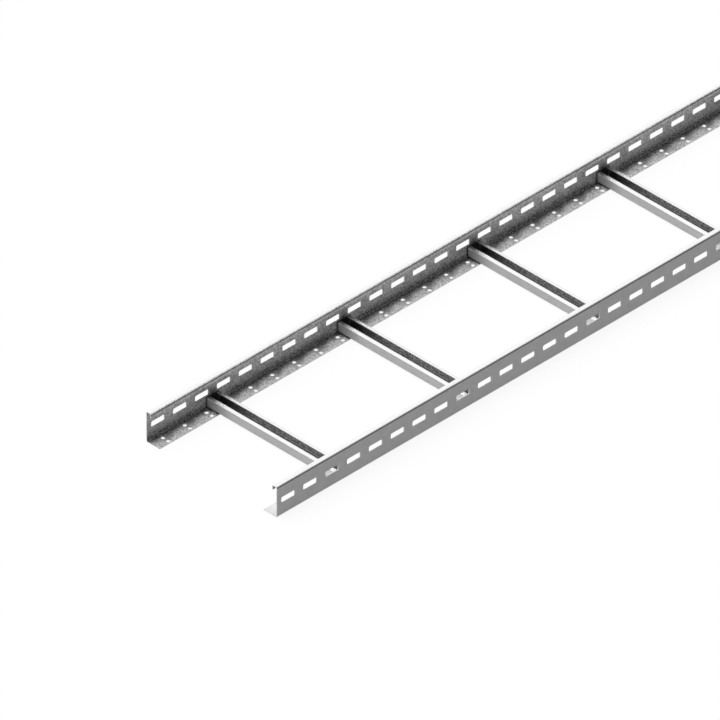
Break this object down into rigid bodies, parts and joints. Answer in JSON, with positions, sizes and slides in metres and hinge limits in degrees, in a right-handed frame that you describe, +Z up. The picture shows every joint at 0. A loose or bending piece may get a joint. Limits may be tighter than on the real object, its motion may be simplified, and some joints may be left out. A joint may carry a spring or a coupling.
{
  "type": "cable ladder",
  "caption": "Galvanised steel cable ladder with slotted folded side rails and open channel rungs for clamped cables.",
  "frame": {"origin": "middle of the floor that the ladder covers, lying on its flanges", "axes": "+X along the rails, +Y across the ladder towards the left rail, +Z up out of its open side"},
  "size_m": [3, 0.3, 0.06],
  "materials": {
    "rail_zinc": "galvanised, matt grey with a fine mottle",
    "rung_zinc": "galvanised, slightly lighter and smoother than the rails"
  },
  "bodies": {
    "root": {"left_rail": "rail_zinc", "right_rail": "rail_zinc", "rung_01": "rung_zinc", "rung_02": "rung_zinc", "rung_03": "rung_zinc", "rung_04": "rung_zinc", "rung_05": "rung_zinc", "rung_06": "rung_zinc", "rung_07": "rung_zinc", "rung_08": "rung_zinc", "rung_09": "rung_zinc", "rung_10": "rung_zinc"}
  },
  "joints": []
}
